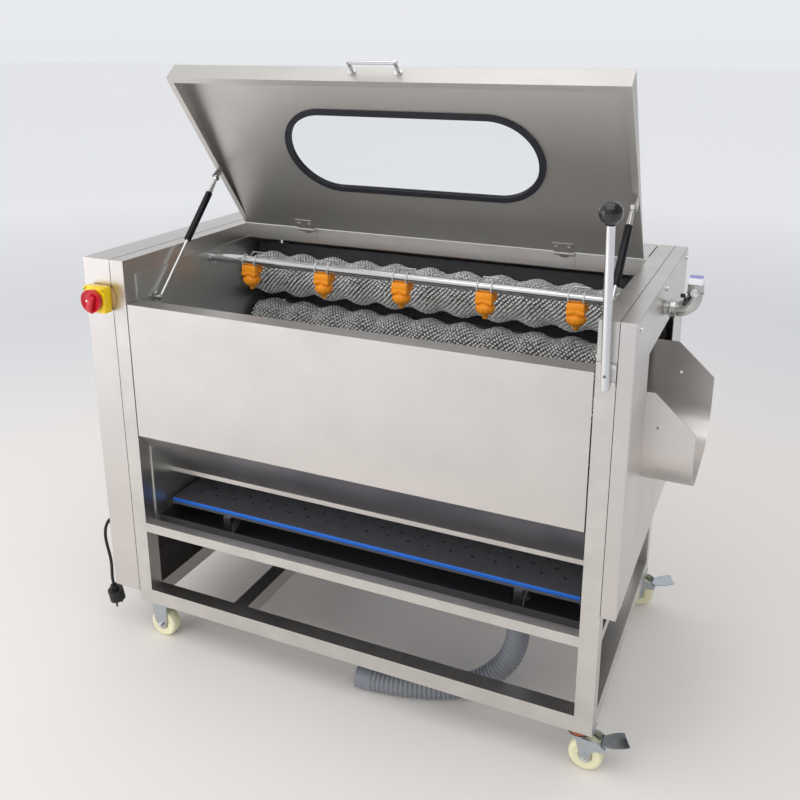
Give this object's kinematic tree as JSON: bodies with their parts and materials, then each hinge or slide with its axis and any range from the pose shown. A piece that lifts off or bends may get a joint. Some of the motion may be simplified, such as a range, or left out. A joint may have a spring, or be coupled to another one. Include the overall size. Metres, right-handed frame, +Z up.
{
  "type": "roller vegetable washer",
  "caption": "Steel trough on castors with driven brush rollers, overhead spray pipe, propped lid with window, lever gate, end chute and sieve tray.",
  "frame": {"origin": "on the floor under the middle of the machine's box, the free cable left out", "axes": "+X along the machine towards its outlet, +Y towards its back, +Z up; with the lid up the height is a little more than the length"},
  "size_m": [1.453, 0.7512, 1.4803],
  "materials": {
    "satin_steel": "satin stainless tube and sheet, fine lengthwise grain",
    "sheet_steel": "fine satin stainless sheet, soft mirror-like shine",
    "lid_steel": "satin stainless sheet",
    "pipe_steel": "drawn stainless tube and wire, bright",
    "cast_fitting": "galvanised cast fitting, silvery and slightly lumpy",
    "bolt_steel": "bright fasteners",
    "bearing_iron": "painted bearing flange",
    "motor_paint": "grey painted motor",
    "chain_steel": "oiled chain",
    "zinc": "bright zinc plated castor steel",
    "nylon": "cream nylon",
    "orange_plastic": "orange moulded plastic",
    "brush": "nylon bristle",
    "pane": "clear pane",
    "rubber": "dark rubber profile",
    "black_ball": "polished black ball knob",
    "black_gloss": "gloss black strut barrel",
    "strut_chrome": "bright strut rod",
    "yellow_plastic": "yellow switch body",
    "red_plastic": "red switch knob",
    "white_plastic": "white valve handle",
    "tray_grey": "charcoal coated perforated tray",
    "pan_dark": "dark coated drain pan",
    "hose_grey": "grey ribbed drain hose",
    "cable_black": "black cable jacket",
    "plug_black": "black plug"
  },
  "bodies": {
    "frame": {"frame_tubes": "satin_steel", "left_end_wall": "sheet_steel", "right_end_wall": "sheet_steel", "front_panel": "sheet_steel", "rear_panel": "sheet_steel", "left_cover": "sheet_steel", "right_cover": "sheet_steel", "cover_bolts": "bolt_steel", "discharge_chute": "sheet_steel", "drain_pan": "pan_dark", "tray_supports": "satin_steel", "spray_pipe": "pipe_steel", "nozzle_bodies": "orange_plastic", "inlet_valve": "cast_fitting", "roller_bearings": "bearing_iron", "gear_motor": "motor_paint", "drive_chains": "chain_steel", "lever_plate": "satin_steel", "lid_hinges": "satin_steel", "strut_brackets": "bolt_steel", "switch_base": "yellow_plastic", "cable_gland": "cable_black", "supply_cable": "cable_black", "plug": "plug_black", "drain_hose": "hose_grey", "castor_plates": "zinc"},
    "lid": {"lid_shell": "lid_steel", "lid_window": "pane", "window_gasket": "rubber", "lid_handle": "pipe_steel"},
    "gate": {"gate_flap": "satin_steel", "gate_lever": "pipe_steel", "lever_knob": "black_ball"},
    "tray": {"sieve_tray": "tray_grey"},
    "main_switch": {"switch_knob": "red_plastic"},
    "water_valve": {"valve_knob": "white_plastic"},
    "motor_shaft": {"motor_sprocket": "chain_steel"},
    "strut_foot_left": {"strut_rod_left": "strut_chrome"},
    "strut_tube_left": {"strut_barrel_left": "black_gloss"},
    "strut_foot_right": {"strut_rod_right": "strut_chrome"},
    "strut_tube_right": {"strut_barrel_right": "black_gloss"},
    "roller_1": {"brush_roller_1": "brush"},
    "roller_2": {"brush_roller_2": "brush"},
    "roller_3": {"brush_roller_3": "brush"},
    "roller_4": {"brush_roller_4": "brush"},
    "roller_5": {"brush_roller_5": "brush"},
    "roller_6": {"brush_roller_6": "brush"},
    "tip_1": {"nozzle_tip_1": "orange_plastic"},
    "tip_2": {"nozzle_tip_2": "orange_plastic"},
    "tip_3": {"nozzle_tip_3": "orange_plastic"},
    "tip_4": {"nozzle_tip_4": "orange_plastic"},
    "tip_5": {"nozzle_tip_5": "orange_plastic"},
    "castor_front": {"swivel_fork_front": "zinc"},
    "pedal_front": {"brake_pedal_front": "zinc"},
    "castor_rear": {"swivel_fork_rear": "zinc"},
    "pedal_rear": {"brake_pedal_rear": "zinc"},
    "roll_front_left": {"wheel_front_left": "nylon"},
    "roll_rear_left": {"wheel_rear_left": "nylon"},
    "roll_front_right": {"wheel_front_right": "nylon"},
    "roll_rear_right": {"wheel_rear_right": "nylon"}
  },
  "joints": [
    {"name": "lid_hinge", "type": "hinge", "parent": "frame", "child": "lid", "pos_m": [-0.025, 0.18165, 1.023], "axis": [1, 0, 0], "range_deg": [0, 65]},
    {"name": "gate_hinge", "type": "hinge", "parent": "frame", "child": "gate", "pos_m": [0.557, 0.02565, 0.905], "axis": [0, -1, 0], "range_deg": [0, 75]},
    {"name": "tray_slide", "type": "slide", "parent": "frame", "child": "tray", "axis": [0, -1, 0], "range_m": [0, 0.4]},
    {"name": "switch_turn", "type": "hinge", "parent": "frame", "child": "main_switch", "pos_m": [-0.653, -0.35435, 0.929], "axis": [0, -1, 0], "range_deg": [0, 90]},
    {"name": "valve_turn", "type": "hinge", "parent": "frame", "child": "water_valve", "pos_m": [0.667, 0.02565, 1.028], "axis": [0, 0, 1], "range_deg": [0, 90]},
    {"name": "motor_spin", "type": "hinge", "parent": "frame", "child": "motor_shaft", "pos_m": [-0.625, 0.22565, 0.22], "axis": [1, 0, 0], "continuous": true},
    {"name": "strut_swing_left", "type": "hinge", "parent": "frame", "child": "strut_foot_left", "pos_m": [-0.57, -0.21835, 0.91], "axis": [-1, 0, 0], "range_deg": [0, 32.5]},
    {"name": "strut_slide_left", "type": "slide", "parent": "strut_foot_left", "child": "strut_tube_left", "axis": [0, 0.703, 0.7112], "range_m": [-0.158, 0]},
    {"name": "strut_swing_right", "type": "hinge", "parent": "frame", "child": "strut_foot_right", "pos_m": [0.52, -0.21835, 0.91], "axis": [-1, 0, 0], "range_deg": [0, 32.5]},
    {"name": "strut_slide_right", "type": "slide", "parent": "strut_foot_right", "child": "strut_tube_right", "axis": [0, 0.703, 0.7112], "range_m": [-0.158, 0]},
    {"name": "roller_spin_1", "type": "hinge", "parent": "frame", "child": "roller_1", "pos_m": [-0.025, 0.20865, 0.88106], "axis": [1, 0, 0], "continuous": true},
    {"name": "roller_spin_2", "type": "hinge", "parent": "frame", "child": "roller_2", "pos_m": [-0.025, 0.20865, 0.741], "axis": [1, 0, 0], "continuous": true},
    {"name": "roller_spin_3", "type": "hinge", "parent": "frame", "child": "roller_3", "pos_m": [-0.025, 0.15505, 0.6116], "axis": [1, 0, 0], "continuous": true},
    {"name": "roller_spin_4", "type": "hinge", "parent": "frame", "child": "roller_4", "pos_m": [-0.025, 0.02565, 0.558], "axis": [1, 0, 0], "continuous": true},
    {"name": "roller_spin_5", "type": "hinge", "parent": "frame", "child": "roller_5", "pos_m": [-0.025, -0.10375, 0.6116], "axis": [1, 0, 0], "continuous": true},
    {"name": "roller_spin_6", "type": "hinge", "parent": "frame", "child": "roller_6", "pos_m": [-0.025, -0.15735, 0.741], "axis": [1, 0, 0], "continuous": true},
    {"name": "tip_swivel_1", "type": "hinge", "parent": "frame", "child": "tip_1", "pos_m": [-0.463, 0.02565, 0.8975], "axis": [1, 0, 0], "range_deg": [-15, 15]},
    {"name": "tip_swivel_2", "type": "hinge", "parent": "frame", "child": "tip_2", "pos_m": [-0.244, 0.02565, 0.8975], "axis": [1, 0, 0], "range_deg": [-15, 15]},
    {"name": "tip_swivel_3", "type": "hinge", "parent": "frame", "child": "tip_3", "pos_m": [-0.025, 0.02565, 0.8975], "axis": [1, 0, 0], "range_deg": [-15, 15]},
    {"name": "tip_swivel_4", "type": "hinge", "parent": "frame", "child": "tip_4", "pos_m": [0.194, 0.02565, 0.8975], "axis": [1, 0, 0], "range_deg": [-15, 15]},
    {"name": "tip_swivel_5", "type": "hinge", "parent": "frame", "child": "tip_5", "pos_m": [0.413, 0.02565, 0.8975], "axis": [1, 0, 0], "range_deg": [-15, 15]},
    {"name": "castor_swivel_front", "type": "hinge", "parent": "frame", "child": "castor_front", "pos_m": [0.543, -0.29835, 0.092], "axis": [0, 0, 1], "continuous": true},
    {"name": "pedal_press_front", "type": "hinge", "parent": "castor_front", "child": "pedal_front", "pos_m": [0.597, -0.29835, 0.068], "axis": [0, 1, 0], "range_deg": [0, 15]},
    {"name": "castor_swivel_rear", "type": "hinge", "parent": "frame", "child": "castor_rear", "pos_m": [0.543, 0.34965, 0.092], "axis": [0, 0, 1], "continuous": true},
    {"name": "pedal_press_rear", "type": "hinge", "parent": "castor_rear", "child": "pedal_rear", "pos_m": [0.597, 0.34965, 0.068], "axis": [0, 1, 0], "range_deg": [0, 15]},
    {"name": "wheel_spin_front_left", "type": "hinge", "parent": "frame", "child": "roll_front_left", "pos_m": [-0.566, -0.30035, 0.0375], "axis": [0, 1, 0], "continuous": true},
    {"name": "wheel_spin_rear_left", "type": "hinge", "parent": "frame", "child": "roll_rear_left", "pos_m": [-0.566, 0.35165, 0.0375], "axis": [0, 1, 0], "continuous": true},
    {"name": "wheel_spin_front_right", "type": "hinge", "parent": "castor_front", "child": "roll_front_right", "pos_m": [0.561, -0.29835, 0.0375], "axis": [0, 1, 0], "continuous": true},
    {"name": "wheel_spin_rear_right", "type": "hinge", "parent": "castor_rear", "child": "roll_rear_right", "pos_m": [0.561, 0.34965, 0.0375], "axis": [0, 1, 0], "continuous": true}
  ],
  "couplings": [
    {"joint": "roller_spin_1", "follows": "roller_spin_3", "ratio": 1},
    {"joint": "roller_spin_2", "follows": "roller_spin_3", "ratio": 1},
    {"joint": "roller_spin_4", "follows": "roller_spin_3", "ratio": 1},
    {"joint": "roller_spin_5", "follows": "roller_spin_3", "ratio": 1},
    {"joint": "roller_spin_6", "follows": "roller_spin_3", "ratio": 1},
    {"joint": "motor_spin", "follows": "roller_spin_3", "ratio": 1},
    {"joint": "strut_swing_left", "follows": "lid_hinge", "ratio": 0.491},
    {"joint": "strut_slide_left", "follows": "lid_hinge", "m_per_rad": -0.1386},
    {"joint": "strut_swing_right", "follows": "lid_hinge", "ratio": 0.491},
    {"joint": "strut_slide_right", "follows": "lid_hinge", "m_per_rad": -0.1386}
  ]
}
